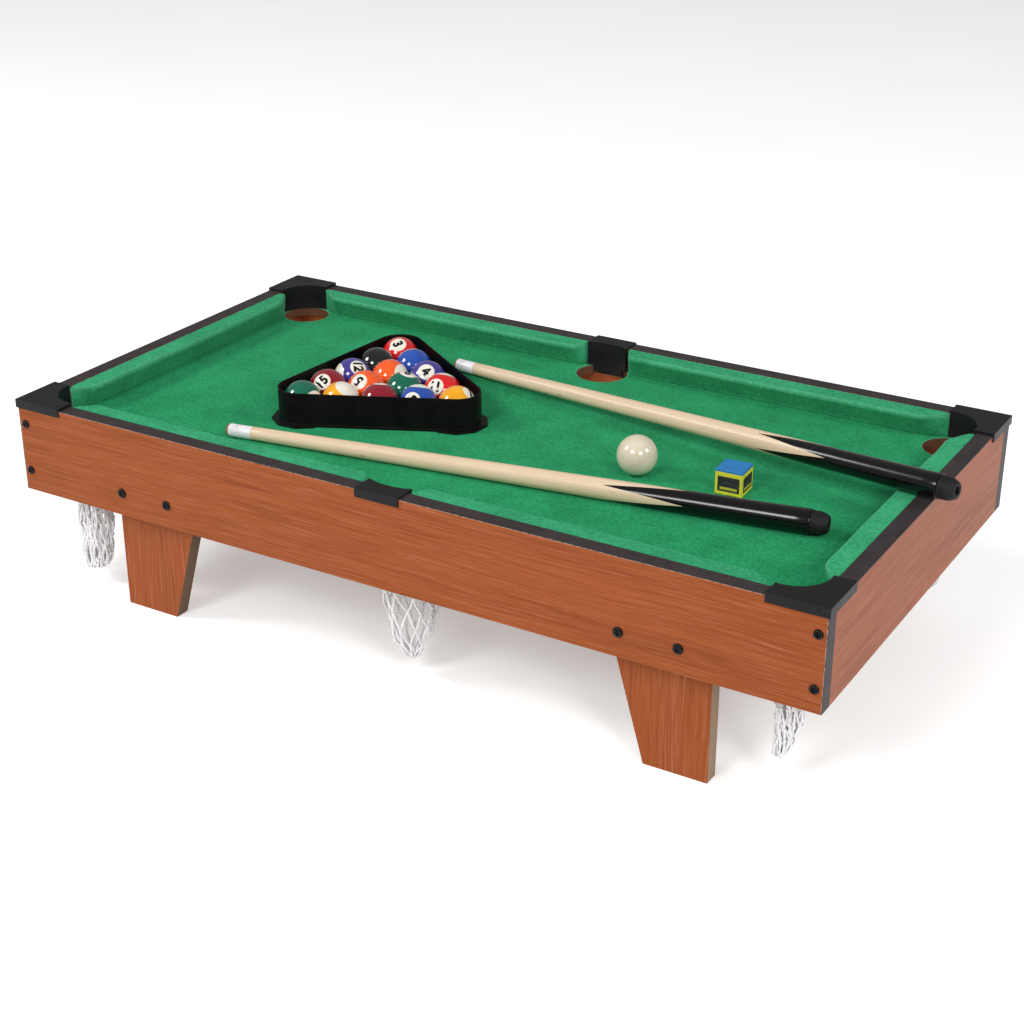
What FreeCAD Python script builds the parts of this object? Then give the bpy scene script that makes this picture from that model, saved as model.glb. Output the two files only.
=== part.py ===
"""Mini pool table with its cues, balls, rack and chalk.

Millimetres. X runs along the table, Y across it, Z up. The origin is on the floor under the
middle of the whole set: the rear cue hangs over the right-hand end, so the table's own centre
stands a little to the left of it. Every sub-part is one document object, bound to the sheet
called Sizes, and is written to parts/ under its label.
"""
import FreeCAD, Part
import math
import os
from types import SimpleNamespace

import Sketcher

os.makedirs("parts", exist_ok=True)

SIZES = {
    # frame
    "table_length": 815.0,
    "table_width": 438.0,
    "board_thickness": 15.0,
    "frame_bottom": 103.0,
    "frame_top": 192.5,
    "band_thickness": 0.8,
    "centre_offset": 10.0,
    # bed
    "bed_top": 169.0,
    "cloth_thickness": 1.2,
    "panel_thickness": 9.0,
    "groove_depth": 5.0,
    "corner_hole_inset": 26.5,
    "corner_hole_radius": 24.5,
    "middle_hole_inset": 19.5,
    "middle_hole_radius": 26.0,
    # cushions
    "cushion_width": 20.0,
    "cushion_foot_width": 10.0,
    "nose_drop": 5.0,
    "long_cushion_start": 23.2,
    "long_cushion_end": 354.0,
    "end_cushion_end": 166.0,
    "middle_jaw_cut": 8.5,
    "corner_jaw_cut": 17.0,
    # pocket caps
    "cap_thickness": 2.5,
    "skirt_thickness": 1.5,
    "skirt_height": 8.3,
    "corner_cap_arm": 53.0,
    "corner_arc_inset": 49.0,
    "corner_arc_radius": 30.0,
    "corner_liner_thickness": 2.3,
    "corner_liner_sweep": 104.0,
    "middle_cap_width": 44.2,
    "middle_cap_thickness": 1.3,
    "middle_cap_depth": 23.0,
    "middle_arc_inset": 73.2,
    "middle_arc_radius": 55.0,
    "middle_liner_thickness": 1.6,
    "middle_liner_sweep": 46.0,
    "middle_liner_tab_sweep": 34.0,
    "middle_liner_drop": 6.5,
    "front_middle_shift": 2.4,
    "back_middle_shift": 2.1,
    # pocket nets
    "net_wall": 1.5,
    "net_bottom": 22.0,
    "corner_net_radius": 26.2,
    "middle_net_radius": 25.6,
    "middle_net_inset": 26.0,
    "net_shoulder_drop": 58.8,
    "net_waist_drop": 87.5,
    "net_waist_radius": 20.4,
    "net_ankle_rise": 17.8,
    "net_ankle_radius": 13.9,
    "net_tip_radius": 6.0,
    # legs
    "leg_outer": 306.8,
    "front_leg_shift": 3.2,
    "leg_foot_width": 58.6,
    "leg_slant": 0.289,
    "leg_height": 150.0,
    "leg_thickness": 15.0,
    # screws
    "screw_radius": 2.0,
    "screw_head_radius": 4.6,
    "screw_crown_radius": 2.8,
    "screw_head_height": 2.4,
    "leg_screw_length": 26.0,
    "leg_screw_outer": 285.9,
    "leg_screw_inner": 232.8,
    "leg_screw_level": 125.5,
    "corner_screw_length": 40.0,
    "corner_screw_inset": 7.5,
    "corner_screw_upper": 170.8,
    "corner_screw_lower": 123.5,
    # balls and rack
    "ball_radius": 18.4,
    "ball_spacing": 37.0,
    "rest_gap": 0.2,
    "rack_height": 33.0,
    "rack_inside": 21.5,
    "rack_outside": 23.0,
    "rack_flange": 23.8,
    "rack_foot_reach": 30.3,
    "rack_foot_height": 2.0,
    # cues
    "cue_length": 570.0,
    "tip_length": 4.0,
    "tip_radius": 5.9,
    "tip_crown_radius": 3.5,
    "tip_crown_depth": 2.0,
    "ferrule_length": 23.0,
    "ferrule_radius": 6.2,
    "tenon_length": 15.0,
    "tenon_radius": 3.8,
    "butt_radius": 11.1,
    "bumper_length": 15.0,
    "bumper_radius": 10.2,
    "bumper_end_radius": 7.6,
    "bumper_hole_radius": 3.6,
    "bumper_hole_depth": 8.0,
    # chalk
    "chalk_length": 25.5,
    "chalk_width": 25.5,
    "chalk_height": 23.5,
    "chalk_hollow_radius": 7.0,
    "chalk_hollow_depth": 1.0,
}

# Where the loose pieces lie on the cloth, from the table's centre: X, Y, and the turn about Z
# in degrees.
RACK_CENTRE = (-138.9, 2.5)
RACK_TURN = 25.3
CUE_BALL_CENTRE = (147.1, -23.7)
CHALK_CENTRE = (235.7, -11.8)
CHALK_TURN = 3.0
FRONT_CUE_TIP = (-221.6, -140.0)
FRONT_CUE_TURN = 8.4
REAR_CUE_TIP = (-131.1, 115.5)
REAR_CUE_TURN = -11.1
# Balls in the rack, from its far corner to its near side, left to right.
RACK_ROWS = ((3,), (8, 2), (12, 13, 4), (15, 5, 6, 11), (14, 9, 7, 10, 1))

Z_AXIS = FreeCAD.Vector(0, 0, 1)
Y_AXIS = FreeCAD.Vector(0, 1, 0)


class Size:
    """A size that knows its value and the sheet expression that gives it."""

    def __init__(self, value, text=None):
        self.value = float(value)
        self.text = text or repr(float(value))

    def combined(self, other, sign, result):
        return Size(result, f"({self.text} {sign} {other.text})")

    def __add__(self, other):
        other = as_size(other)
        return self.combined(other, "+", self.value + other.value)

    def __sub__(self, other):
        other = as_size(other)
        return self.combined(other, "-", self.value - other.value)

    def __mul__(self, other):
        other = as_size(other)
        return self.combined(other, "*", self.value * other.value)

    def __truediv__(self, other):
        other = as_size(other)
        return self.combined(other, "/", self.value / other.value)

    def __neg__(self):
        return self * -1

    def __radd__(self, other):
        return as_size(other) + self

    def __rsub__(self, other):
        return as_size(other) - self

    def __rmul__(self, other):
        return self * other


def as_size(number):
    return number if isinstance(number, Size) else Size(number)


doc = FreeCAD.newDocument("mini_pool_table")
sheet = doc.addObject("Spreadsheet::Sheet", "Sizes")
for row, (alias, number) in enumerate(SIZES.items(), start=1):
    sheet.set(f"A{row}", alias)
    sheet.set(f"B{row}", str(number))
    sheet.setAlias(f"B{row}", alias)
doc.recompute()
size = SimpleNamespace(**{alias: Size(number, "Sizes." + alias) for alias, number in SIZES.items()})

half_length = size.table_length / 2
half_width = size.table_width / 2
inner_x = half_length - size.board_thickness
inner_y = half_width - size.board_thickness
panel_top = size.bed_top - size.cloth_thickness
panel_bottom = panel_top - size.panel_thickness
cap_top = size.frame_top + size.cap_thickness
corner_hole_x = inner_x - size.corner_hole_inset
corner_hole_y = inner_y - size.corner_hole_inset
middle_hole_y = inner_y - size.middle_hole_inset
loose_level = size.bed_top + size.rest_gap

sub_parts = []


def bind(thing, prop, amount):
    """Give a property its value, and its expression in the sheet."""
    amount = as_size(amount)
    thing.setExpression(prop, amount.text)


def bind_place(thing, x, y, z, turn=0.0):
    """Bind a primitive's position; turn is about Z, in degrees."""
    thing.Placement = FreeCAD.Placement(FreeCAD.Vector(), FreeCAD.Rotation(Z_AXIS, turn))
    bind(thing, "Placement.Base.x", x)
    bind(thing, "Placement.Base.y", y)
    bind(thing, "Placement.Base.z", z)


def set_down(thing, x, y, z, turn=0.0):
    """Place a finished piece by its distance from the table's own centre."""
    bind_place(thing, as_size(x) - size.centre_offset, y, z, turn)


def new_body(label, x=0, y=0, z=0, turn=0.0):
    body = doc.addObject("PartDesign::Body", label)
    body.Label = label
    set_down(body, x, y, z, turn)
    sub_parts.append(body)
    return body


def add_box(body, kind, low, high):
    """A box between two corners, each a tuple of sizes; kind is Additive or Subtractive."""
    box = body.newObject(f"PartDesign::{kind}Box", f"{body.Name}_{kind}_box")
    for prop, start, end in zip(("Length", "Width", "Height"), low, high):
        bind(box, prop, as_size(end) - start)
    bind_place(box, *low)
    return box


def add_cylinder(body, kind, centre, radius, bottom, top, start=0.0, sweep=None):
    """An upright cylinder, or the sector of one from angle start through sweep."""
    cylinder = body.newObject(f"PartDesign::{kind}Cylinder", f"{body.Name}_{kind}_cylinder")
    bind(cylinder, "Radius", radius)
    bind(cylinder, "Height", as_size(top) - bottom)
    if sweep is not None:
        bind(cylinder, "Angle", sweep)
    bind_place(cylinder, centre[0], centre[1], bottom, start)
    return cylinder


def add_bore(body, x, y, z, radius, depth):
    """A hole along +Y, starting at the point given."""
    bore = body.newObject("PartDesign::SubtractiveCylinder", f"{body.Name}_bore")
    bind(bore, "Radius", radius)
    bind(bore, "Height", depth)
    bind_place(bore, x, y, z)
    along_y = FreeCAD.Rotation(FreeCAD.Vector(1, 0, 0), -90)
    bore.Placement = FreeCAD.Placement(bore.Placement.Base, along_y)
    return bore


def origin_plane(body, role):
    return next(item for item in body.Origin.OriginFeatures if item.Role == role)


def add_outline(body, role, points, level=0):
    """A closed sketch of straight lines through points, on one of the body's planes."""
    sketch = body.newObject("Sketcher::SketchObject", f"{body.Name}_outline")
    sketch.AttachmentSupport = [(origin_plane(body, role), "")]
    sketch.MapMode = "FlatFace"
    bind(sketch, "AttachmentOffset.Base.z", level)
    corners = [(as_size(x), as_size(y)) for x, y in points]
    vectors = [FreeCAD.Vector(x.value, y.value, 0) for x, y in corners]
    for here, there in zip(vectors, vectors[1:] + vectors[:1]):
        sketch.addGeometry(Part.LineSegment(here, there))
    count = len(corners)
    for index, (x, y) in enumerate(corners):
        sketch.addConstraint(Sketcher.Constraint("Coincident", (index - 1) % count, 2, index, 1))
        for kind, amount in (("DistanceX", x), ("DistanceY", y)):
            place = Sketcher.Constraint(kind, -1, 1, index, 1, amount.value)
            sketch.setExpression(f"Constraints[{sketch.addConstraint(place)}]", amount.text)
    return sketch


def add_pad(body, sketch, height):
    pad = body.newObject("PartDesign::Pad", f"{body.Name}_pad")
    pad.Profile = sketch
    bind(pad, "Length", height)
    return pad


def add_pocket(body, sketch):
    """A pocket right through the body, to both sides of its sketch."""
    pocket = body.newObject("PartDesign::Pocket", f"{body.Name}_pocket")
    pocket.Profile = sketch
    pocket.Type = "ThroughAll"
    pocket.Midplane = True
    return pocket


def add_turning(body, sketch, axis):
    turning = body.newObject("PartDesign::Revolution", f"{body.Name}_turning")
    turning.Profile = sketch
    turning.ReferenceAxis = (sketch, [axis])
    turning.Angle = 360.0
    return turning


def make_frame_boards():
    """Two full-length long boards with the end boards between them; all four are grooved."""
    core_top = size.frame_top - size.band_thickness
    core_half = half_length - size.band_thickness
    panel_half = inner_x + size.groove_depth
    screw_x = half_length - size.corner_screw_inset
    for label, turn in (("board_front", 0.0), ("board_back", 180.0)):
        board = new_body(label, turn=turn)
        add_box(board, "Additive", (-core_half, -half_width, size.frame_bottom),
                (core_half, -inner_y, core_top))
        add_box(board, "Subtractive", (-panel_half, -inner_y - size.groove_depth, panel_bottom),
                (panel_half, -inner_y, panel_top))
        for x in (size.leg_screw_inner, size.leg_screw_outer):
            for side in (-1, 1):
                add_bore(board, x * side, -half_width, size.leg_screw_level,
                         size.screw_radius, size.board_thickness)
        for z in (size.corner_screw_lower, size.corner_screw_upper):
            for side in (-1, 1):
                add_bore(board, screw_x * side, -half_width, z,
                         size.screw_radius, size.board_thickness)
    for label, turn in (("board_right", 0.0), ("board_left", 180.0)):
        board = new_body(label, turn=turn)
        add_box(board, "Additive", (inner_x, -inner_y, size.frame_bottom),
                (half_length, inner_y, core_top))
        add_box(board, "Subtractive", (inner_x, -inner_y, panel_bottom),
                (panel_half, inner_y, panel_top))
        bite = size.corner_screw_length - size.board_thickness
        for z in (size.corner_screw_lower, size.corner_screw_upper):
            add_bore(board, screw_x, -inner_y, z, size.screw_radius, bite)
            add_bore(board, screw_x, inner_y - bite, z, size.screw_radius, bite)


def make_edge_bands():
    """Dark strips over the top edges, and down the bare ends of the long boards."""
    core_top = size.frame_top - size.band_thickness
    for label, turn in (("band_front", 0.0), ("band_back", 180.0)):
        band = new_body(label, turn=turn)
        add_box(band, "Additive", (-half_length, -half_width, core_top),
                (half_length, -inner_y, size.frame_top))
        for start in (-half_length, half_length - size.band_thickness):
            add_box(band, "Additive", (start, -half_width, size.frame_bottom),
                    (start + size.band_thickness, -inner_y, size.frame_top))
    for label, turn in (("band_right", 0.0), ("band_left", 180.0)):
        band = new_body(label, turn=turn)
        add_box(band, "Additive", (inner_x, -inner_y, core_top),
                (half_length, inner_y, size.frame_top))


def pocket_holes():
    """Centre and radius of each hole through the bed."""
    holes = []
    for side_y in (-1, 1):
        holes.append((as_size(0), middle_hole_y * side_y, size.middle_hole_radius))
        for side_x in (-1, 1):
            holes.append((corner_hole_x * side_x, corner_hole_y * side_y,
                          size.corner_hole_radius))
    return holes


def make_bed():
    """The panel held in the boards' grooves, and the cloth glued on it."""
    panel_x = inner_x + size.groove_depth
    panel_y = inner_y + size.groove_depth
    layers = (
        ("bed_panel", panel_x, panel_y, panel_bottom, panel_top),
        ("bed_cloth", inner_x, inner_y, panel_top, size.bed_top),
    )
    for label, half_x, half_y, bottom, top in layers:
        layer = new_body(label)
        add_box(layer, "Additive", (-half_x, -half_y, bottom), (half_x, half_y, top))
        for x, y, radius in pocket_holes():
            add_cylinder(layer, "Subtractive", (x, y), radius, bottom, top)


def make_cushion(label, turn, wall, start, end, start_cut, end_cut):
    """A cushion along X against the wall at Y = wall, cut back towards the pockets."""
    cushion = new_body(label, turn=turn)
    nose = wall - size.cushion_width
    foot = wall - size.cushion_foot_width
    plan = [(start, wall), (end, wall), (end - end_cut, nose), (start + start_cut, nose)]
    height = size.frame_top - size.bed_top
    add_pad(cushion, add_outline(cushion, "XY_Plane", plan, size.bed_top), height)
    nose_level = size.frame_top - size.nose_drop
    spare = 1.0  # the cut runs this far past the nose and the foot
    undercut = [(nose - spare, nose_level), (nose, nose_level), (foot, size.bed_top),
                (foot, size.bed_top - spare), (nose - spare, size.bed_top - spare)]
    add_pocket(cushion, add_outline(cushion, "YZ_Plane", undercut))


def make_cushions():
    start = size.long_cushion_start
    front_shift = size.front_middle_shift
    back_shift = size.back_middle_shift
    end = size.long_cushion_end
    near = size.middle_jaw_cut
    far = size.corner_jaw_cut
    make_cushion("cushion_back_right", 0.0, inner_y, start - back_shift, end, near, far)
    make_cushion("cushion_back_left", 0.0, inner_y, -end, -start - back_shift, far, near)
    make_cushion("cushion_front_left", 180.0, inner_y, start, end, near, far)
    make_cushion("cushion_front_right", 180.0, inner_y, -end, -start - front_shift, far, near)
    reach = size.end_cushion_end
    make_cushion("cushion_end_left", 90.0, inner_x, -reach, reach, far, far)
    make_cushion("cushion_end_right", -90.0, inner_x, -reach, reach, far, far)


def make_corner_cap(label, side_x, side_y, turn):
    """Plate, two skirts and a curved pocket liner, drawn from the cap's outer corner inwards."""
    overhang = size.skirt_thickness
    cap = new_body(label, (half_length + overhang) * side_x, (half_width + overhang) * side_y,
                   0, turn)
    arm = size.corner_cap_arm
    skirt_bottom = cap_top - size.skirt_height
    centre = (size.corner_arc_inset, size.corner_arc_inset)
    add_box(cap, "Additive", (0, 0, size.frame_top), (arm, arm, cap_top))
    add_box(cap, "Additive", (0, 0, skirt_bottom), (arm, overhang, cap_top))
    add_box(cap, "Additive", (0, 0, skirt_bottom), (overhang, arm, cap_top))
    liner_radius = size.corner_arc_radius + size.corner_liner_thickness
    first = 225.0 - size.corner_liner_sweep.value / 2
    add_cylinder(cap, "Additive", centre, liner_radius, size.bed_top, cap_top,
                 first, size.corner_liner_sweep)
    add_cylinder(cap, "Subtractive", centre, size.corner_arc_radius, size.bed_top, cap_top)


def make_middle_cap(label, x, side_y, turn):
    """Plate, skirt and a shallow curved liner, with a tab that dips into the hole in the bed."""
    overhang = size.skirt_thickness
    cap = new_body(label, x, (half_width + overhang) * side_y, 0, turn)
    half_cap = size.middle_cap_width / 2
    top = size.frame_top + size.middle_cap_thickness
    centre = (0, size.middle_arc_inset)
    add_box(cap, "Additive", (-half_cap, 0, size.frame_top),
            (half_cap, size.middle_cap_depth, top))
    add_box(cap, "Additive", (-half_cap, 0, top - size.skirt_height), (half_cap, overhang, top))
    liner_radius = size.middle_arc_radius + size.middle_liner_thickness
    tab_bottom = size.bed_top - size.middle_liner_drop
    for sweep, bottom in ((size.middle_liner_sweep, size.bed_top),
                          (size.middle_liner_tab_sweep, tab_bottom)):
        add_cylinder(cap, "Additive", centre, liner_radius, bottom, top,
                     270.0 - sweep.value / 2, sweep)
    add_cylinder(cap, "Subtractive", centre, size.middle_arc_radius, tab_bottom, top)


def make_caps():
    make_corner_cap("cap_front_left", -1, -1, 0.0)
    make_corner_cap("cap_front_right", 1, -1, 90.0)
    make_corner_cap("cap_back_right", 1, 1, 180.0)
    make_corner_cap("cap_back_left", -1, 1, 270.0)
    make_middle_cap("cap_front_middle", size.front_middle_shift, -1, 0.0)
    make_middle_cap("cap_back_middle", -size.back_middle_shift, 1, 180.0)


def make_net(label, x, y, radius):
    """A hanging bag, open at the top, narrowing below the waist where a ball comes to rest."""
    net = new_body(label, x, y)
    wall = size.net_wall
    shoulder = panel_bottom - size.net_shoulder_drop
    waist = panel_bottom - size.net_waist_drop
    ankle = size.net_bottom + size.net_ankle_rise
    shoulder_radius = (radius + size.net_waist_radius) / 2
    outside = [(0, size.net_bottom), (size.net_tip_radius, size.net_bottom),
               (size.net_ankle_radius, ankle), (size.net_waist_radius, waist),
               (shoulder_radius, shoulder), (radius, panel_bottom)]
    inside = [(radius - wall, panel_bottom), (shoulder_radius - wall, shoulder),
              (size.net_waist_radius - wall, waist),
              (size.net_ankle_radius - wall, ankle + wall),
              (size.net_tip_radius - wall, size.net_bottom + wall),
              (0, size.net_bottom + wall)]
    add_turning(net, add_outline(net, "XZ_Plane", outside + inside), "V_Axis")


def make_nets():
    middle_y = inner_y - size.middle_net_inset
    for row, side_y in (("front", -1), ("back", 1)):
        make_net(f"net_{row}_left", -corner_hole_x, corner_hole_y * side_y,
                 size.corner_net_radius)
        make_net(f"net_{row}_middle", 0, middle_y * side_y, size.middle_net_radius)
        make_net(f"net_{row}_right", corner_hole_x, corner_hole_y * side_y,
                 size.corner_net_radius)


def make_leg(label, side, turn, shift=0):
    """A flat board against the inside of a long board; its inner edge slants inwards."""
    leg = new_body(label, turn=turn)
    foot_x = size.leg_outer - size.leg_foot_width
    head_x = foot_x - size.leg_height * size.leg_slant
    outline = ((size.leg_outer, 0), (size.leg_outer, size.leg_height),
               (head_x, size.leg_height), (foot_x, 0))
    corners = [(x * side + shift, z) for x, z in outline]
    back_face = inner_y - size.leg_thickness
    add_pad(leg, add_outline(leg, "XZ_Plane", corners, back_face), size.leg_thickness)
    bite = size.leg_screw_length - size.board_thickness
    for x in (size.leg_screw_inner, size.leg_screw_outer):
        add_bore(leg, x * side, -inner_y, size.leg_screw_level, size.screw_radius, bite)


def make_legs():
    make_leg("leg_front_left", -1, 0.0, size.front_leg_shift)
    make_leg("leg_front_right", 1, 0.0, size.front_leg_shift)
    make_leg("leg_back_left", 1, 180.0)
    make_leg("leg_back_right", -1, 180.0)


def screw_pieces(x, z, side_y, length):
    """Shank and tapered head of one screw driven in from the face of a long board."""
    inwards = FreeCAD.Rotation(FreeCAD.Vector(1, 0, 0), 90 * side_y)
    outwards = FreeCAD.Rotation(FreeCAD.Vector(1, 0, 0), -90 * side_y)
    shank = doc.addObject("Part::Cylinder", "screw_shank")
    bind(shank, "Radius", size.screw_radius)
    bind(shank, "Height", length)
    head = doc.addObject("Part::Cone", "screw_head")
    bind(head, "Radius1", size.screw_head_radius)
    bind(head, "Radius2", size.screw_crown_radius)
    bind(head, "Height", size.screw_head_height)
    for piece, direction in ((shank, inwards), (head, outwards)):
        set_down(piece, x, half_width * side_y, z)
        piece.Placement = FreeCAD.Placement(piece.Placement.Base, direction)
    return [shank, head]


def make_screws():
    """Leg screws and corner screws: each node is one group of equal screws."""
    screw_x = half_length - size.corner_screw_inset
    leg_places = [(x, size.leg_screw_level) for x in (size.leg_screw_inner, size.leg_screw_outer)]
    corner_places = [(screw_x, z) for z in (size.corner_screw_lower, size.corner_screw_upper)]
    groups = (
        ("leg_screws", leg_places, size.leg_screw_length),
        ("corner_screws", corner_places, size.corner_screw_length),
    )
    for label, places, length in groups:
        pieces = []
        for x, z in places:
            for side_x in (-1, 1):
                for side_y in (-1, 1):
                    pieces += screw_pieces(x * side_x, z, side_y, length)
        group = doc.addObject("Part::MultiFuse", label)
        group.Label = label
        group.Shapes = pieces
        sub_parts.append(group)


def rack_corners():
    """Corners of the triangle through the middles of the three corner balls."""
    reach = size.ball_spacing * (4 / math.sqrt(3))
    return [(reach * math.cos(math.radians(angle)), reach * math.sin(math.radians(angle)))
            for angle in (90, 210, 330)]


def rack_sides(offset):
    """Six corners of the straight sides of that triangle, each side moved out by offset."""
    points = []
    for (x, y), angle in zip(rack_corners(), (90, 210, 330)):
        for normal in (math.radians(angle - 60), math.radians(angle + 60)):
            points.append((x + offset * math.cos(normal), y + offset * math.sin(normal)))
    return points


def rack_foot(x, y, angle):
    """Ten corners of the flat foot round one corner, with one edge square to that corner."""
    reach = size.rack_foot_reach
    return [(x + reach * math.cos(math.radians(angle + 18 + 36 * k)),
             y + reach * math.sin(math.radians(angle + 18 + 36 * k))) for k in range(10)]


def make_rack():
    rack = new_body("ball_rack", *RACK_CENTRE, loose_level, RACK_TURN)
    add_pad(rack, add_outline(rack, "XY_Plane", rack_sides(size.rack_outside)), size.rack_height)
    for corner in rack_corners():
        add_cylinder(rack, "Additive", corner, size.rack_outside, 0, size.rack_height)
    foot = size.rack_foot_height
    add_pad(rack, add_outline(rack, "XY_Plane", rack_sides(size.rack_flange)), foot)
    for (x, y), angle in zip(rack_corners(), (90, 210, 330)):
        add_pad(rack, add_outline(rack, "XY_Plane", rack_foot(x, y, angle)), foot)
    add_pocket(rack, add_outline(rack, "XY_Plane", rack_sides(size.rack_inside)))
    for corner in rack_corners():
        add_cylinder(rack, "Subtractive", corner, size.rack_inside, 0, size.rack_height)


def make_ball(label, x, y):
    ball = doc.addObject("Part::Sphere", label)
    ball.Label = label
    bind(ball, "Radius", size.ball_radius)
    set_down(ball, x, y, loose_level + size.ball_radius)
    sub_parts.append(ball)


def make_balls():
    """Fifteen numbered balls in rows inside the rack, and the cue ball."""
    turn = math.radians(RACK_TURN)
    spacing = size.ball_spacing
    row_step = spacing * (math.sqrt(3) / 2)
    far_corner = spacing * (4 / math.sqrt(3))
    for row, numbers in enumerate(RACK_ROWS):
        along = far_corner - row_step * row
        for place, number in enumerate(numbers):
            across = spacing * (place - row / 2)
            x = RACK_CENTRE[0] + across * math.cos(turn) - along * math.sin(turn)
            y = RACK_CENTRE[1] + across * math.sin(turn) + along * math.cos(turn)
            make_ball(f"ball_{number:02d}", x, y)
    make_ball("cue_ball", *CUE_BALL_CENTRE)


def make_cue(name, tip_xy, turn, tilt):
    """A one-piece cue along its own X, with a glued tip, a ferrule and a rubber bumper."""
    rotation = FreeCAD.Rotation(Z_AXIS, turn) * FreeCAD.Rotation(Y_AXIS, -tilt)
    lift = size.ferrule_radius + (1 - math.cos(math.radians(tilt))) * size.ferrule_radius
    tenon_start = size.tip_length + size.ferrule_length - size.tenon_length
    shoulder = size.tip_length + size.ferrule_length
    butt_end = size.cue_length - size.bumper_length
    hole_start = size.cue_length - size.bumper_hole_depth
    outlines = {
        "tip": [(0, 0), (0, size.tip_crown_radius), (size.tip_crown_depth, size.tip_radius),
                (size.tip_length, size.tip_radius), (size.tip_length, 0)],
        "ferrule": [(size.tip_length, 0), (size.tip_length, size.ferrule_radius),
                    (shoulder, size.ferrule_radius), (shoulder, size.tenon_radius),
                    (tenon_start, size.tenon_radius), (tenon_start, 0)],
        "shaft": [(tenon_start, 0), (tenon_start, size.tenon_radius),
                  (shoulder, size.tenon_radius), (shoulder, size.ferrule_radius),
                  (butt_end, size.butt_radius), (butt_end, 0)],
        "bumper": [(butt_end, 0), (butt_end, size.bumper_radius),
                   (hole_start, size.bumper_radius), (size.cue_length, size.bumper_end_radius),
                   (size.cue_length, size.bumper_hole_radius),
                   (hole_start, size.bumper_hole_radius), (hole_start, 0)],
    }
    for piece, points in outlines.items():
        body = new_body(f"{name}_{piece}", *tip_xy, loose_level + lift)
        body.Placement = FreeCAD.Placement(body.Placement.Base, rotation)
        add_turning(body, add_outline(body, "XY_Plane", points), "H_Axis")


def make_cues():
    """The front cue lies on the cloth; the rear one leans on the right-hand cushion."""
    taper = math.degrees(math.atan2(
        size.butt_radius.value - size.ferrule_radius.value,
        size.cue_length.value - size.bumper_length.value))
    rise = size.frame_top.value - size.bed_top.value
    nose_x = inner_x.value - size.cushion_width.value
    reach = (nose_x - REAR_CUE_TIP[0]) / math.cos(math.radians(REAR_CUE_TURN))
    lean = math.degrees(math.atan2(rise, reach))
    make_cue("front_cue", FRONT_CUE_TIP, FRONT_CUE_TURN, taper)
    make_cue("rear_cue", REAR_CUE_TIP, REAR_CUE_TURN, taper + lean)


def make_chalk():
    chalk = new_body("chalk_cube", *CHALK_CENTRE, loose_level, CHALK_TURN)
    half_x = size.chalk_length / 2
    half_y = size.chalk_width / 2
    add_box(chalk, "Additive", (-half_x, -half_y, 0), (half_x, half_y, size.chalk_height))
    add_cylinder(chalk, "Subtractive", (0, 0), size.chalk_hollow_radius,
                 size.chalk_height - size.chalk_hollow_depth, size.chalk_height)


def write_parts():
    """Check every object in the document, then write each sub-part."""
    doc.recompute()
    bad = [item.Name for item in doc.Objects if {"Invalid", "Error"} & set(item.State)]
    if bad:
        raise RuntimeError("objects with errors: " + ", ".join(bad))
    for item in sub_parts:
        if item.Shape.isNull() or not item.Shape.isValid() or not item.Shape.Solids:
            raise RuntimeError("bad shape: " + item.Label)
    for item in sub_parts:
        item.Shape.exportStep(f"parts/{item.Label}.step")
        print(item.Label, len(item.Shape.Solids), round(item.Shape.Volume, 1))


make_frame_boards()
make_edge_bands()
make_bed()
make_cushions()
make_caps()
make_nets()
make_legs()
make_screws()
make_rack()
make_balls()
make_cues()
make_chalk()
write_parts()
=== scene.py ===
import math
import random

import bmesh
import bpy
from mathutils import Matrix, Vector, noise


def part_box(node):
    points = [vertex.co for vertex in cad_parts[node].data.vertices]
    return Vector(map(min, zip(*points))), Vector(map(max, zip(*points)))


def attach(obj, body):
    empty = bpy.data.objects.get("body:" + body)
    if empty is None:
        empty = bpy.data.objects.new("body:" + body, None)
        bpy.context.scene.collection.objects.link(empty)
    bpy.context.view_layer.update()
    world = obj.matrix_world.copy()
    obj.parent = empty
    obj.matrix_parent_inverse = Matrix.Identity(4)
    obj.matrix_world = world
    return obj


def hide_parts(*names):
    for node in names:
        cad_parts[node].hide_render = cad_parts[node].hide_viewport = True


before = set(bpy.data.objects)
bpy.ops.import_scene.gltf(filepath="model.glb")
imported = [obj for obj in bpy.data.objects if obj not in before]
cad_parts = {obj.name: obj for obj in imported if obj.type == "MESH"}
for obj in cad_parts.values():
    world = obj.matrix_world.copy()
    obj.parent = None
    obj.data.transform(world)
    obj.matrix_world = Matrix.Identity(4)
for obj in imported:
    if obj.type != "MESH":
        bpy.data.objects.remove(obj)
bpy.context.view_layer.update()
scene = bpy.context.scene
MM = 0.001


def mm(*numbers):
    return Vector(numbers) * MM


# Places read from the frame, in metres.
PANEL_LOW, PANEL_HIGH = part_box("bed_panel")
CENTRE = Vector(((PANEL_LOW.x + PANEL_HIGH.x) / 2, 0.0, 0.0))  # the table's own centre
BED_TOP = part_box("bed_cloth")[1].z
BED_HALF_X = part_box("bed_cloth")[1].x - CENTRE.x
BED_HALF_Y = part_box("bed_cloth")[1].y
FRAME_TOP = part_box("band_front")[1].z
PANEL_BOTTOM = PANEL_LOW.z
FRAME_HALF_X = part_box("band_front")[1].x - CENTRE.x
FRAME_HALF_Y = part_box("band_back")[1].y
LEG_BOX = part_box("leg_back_right")

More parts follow.
